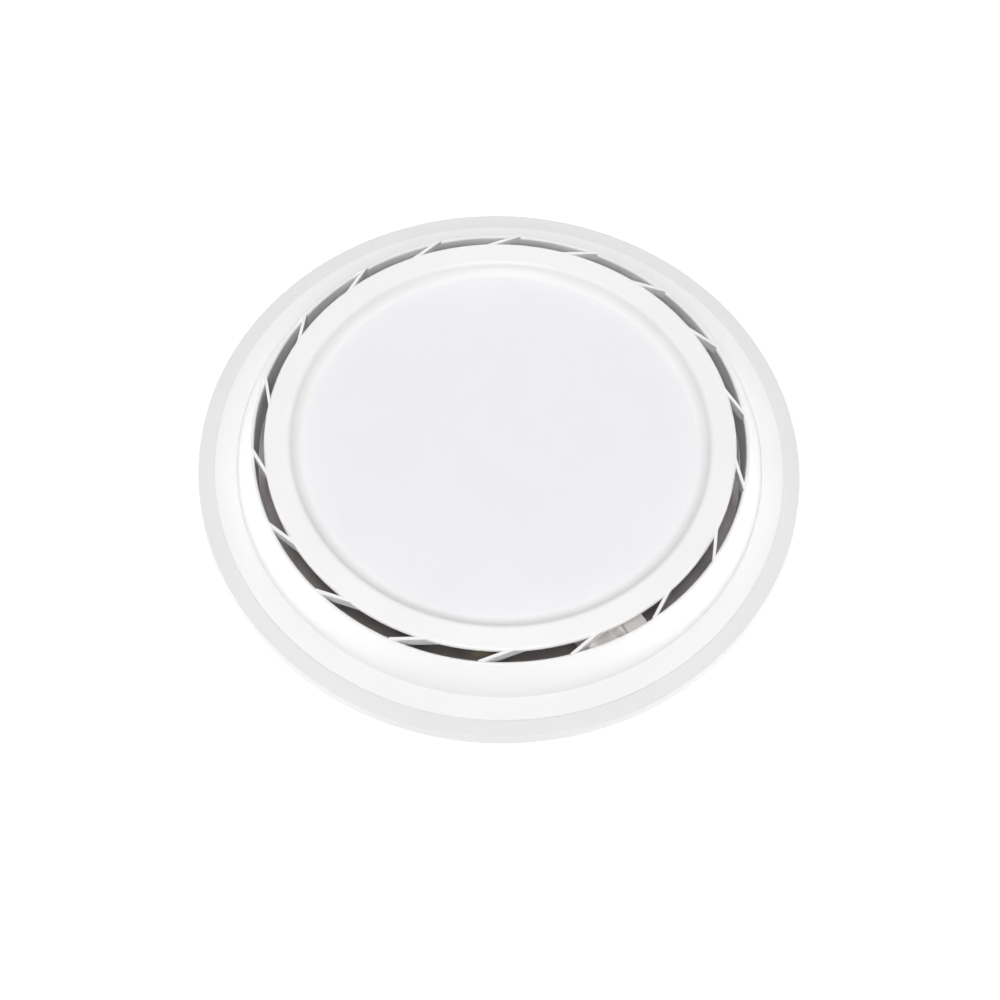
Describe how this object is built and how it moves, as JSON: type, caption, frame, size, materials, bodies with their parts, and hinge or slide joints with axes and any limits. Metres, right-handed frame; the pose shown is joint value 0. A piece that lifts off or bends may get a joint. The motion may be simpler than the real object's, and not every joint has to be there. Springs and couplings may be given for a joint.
{
  "type": "concealed fire sprinkler head",
  "caption": "Ceiling-mounted concealed sprinkler head: frame, heat-sensitive bulb and drop-down deflector in a cup, behind a round vented cover that falls away.",
  "frame": {"origin": "on the sprinkler's axis at the face of the pipe fitting, within the inlet thread", "axes": "+Z along the axis up into the supply pipe; the room is below; the cover faces -Z; the bulb leaves the frame towards +Y"},
  "size_m": [0.1204, 0.1204, 0.0752],
  "materials": {
    "white_cover": "satin moulding",
    "grey_flange": "satin moulding",
    "brass_body": "cast and machined",
    "brass_skirt": "pressed sheet",
    "skirt_steel": "dark plated pressed sheet",
    "bronze": "stamped phosphor bronze",
    "copper_tab": "copper",
    "solder": "dull fusible alloy",
    "cup_steel": "zinc-plated drawn steel",
    "pin_steel": "polished stainless steel",
    "spring_steel": "bright strip",
    "fastener_steel": "zinc-plated",
    "seal_coating": "fluoropolymer-coated spring disc",
    "bulb_glass": "clear",
    "bulb_fluid": "red liquid",
    "foam": "closed-cell foam"
  },
  "bodies": {
    "sprinkler": {"sprinkler_body": "brass_body", "load_screw": "brass_body", "guide_housing": "bronze", "support_cup": "cup_steel", "cup_retaining_ring": "pin_steel"},
    "trigger": {"seal_washer": "seal_coating", "orifice_cap": "bronze", "glass_bulb": "bulb_glass", "bulb_liquid": "bulb_fluid", "bulb_seat": "bronze"},
    "spray": {"deflector": "bronze", "guide_pins": "pin_steel"},
    "trim": {"retainer_skirt": "skirt_steel", "skirt_rivets": "fastener_steel", "base_plate": "grey_flange", "ceiling_gasket": "foam", "spring_rivet": "fastener_steel", "ejection_spring": "spring_steel"},
    "cover": {"vent_cover": "white_cover", "cover_carrier": "brass_skirt", "carrier_screws": "fastener_steel", "solder_tabs": "copper_tab", "solder_pads": "solder"}
  },
  "joints": [
    {"name": "trim_adjust", "type": "slide", "parent": "sprinkler", "child": "trim", "axis": [0, 0, -1], "range_m": [0, 0.0095]},
    {"name": "cover_drop", "type": "slide", "parent": "trim", "child": "cover", "axis": [0, 0, -1], "range_m": [0, 0.12]},
    {"name": "deflector_drop", "type": "slide", "parent": "sprinkler", "child": "spray", "axis": [0, 0, -1], "range_m": [0, 0.012]},
    {"name": "cap_release", "type": "slide", "parent": "sprinkler", "child": "trigger", "axis": [0, 1, 0], "range_m": [0, 0.018]}
  ],
  "couplings": [
    {"joint": "deflector_drop", "follows": "cover_drop", "ratio": 0.1}
  ]
}
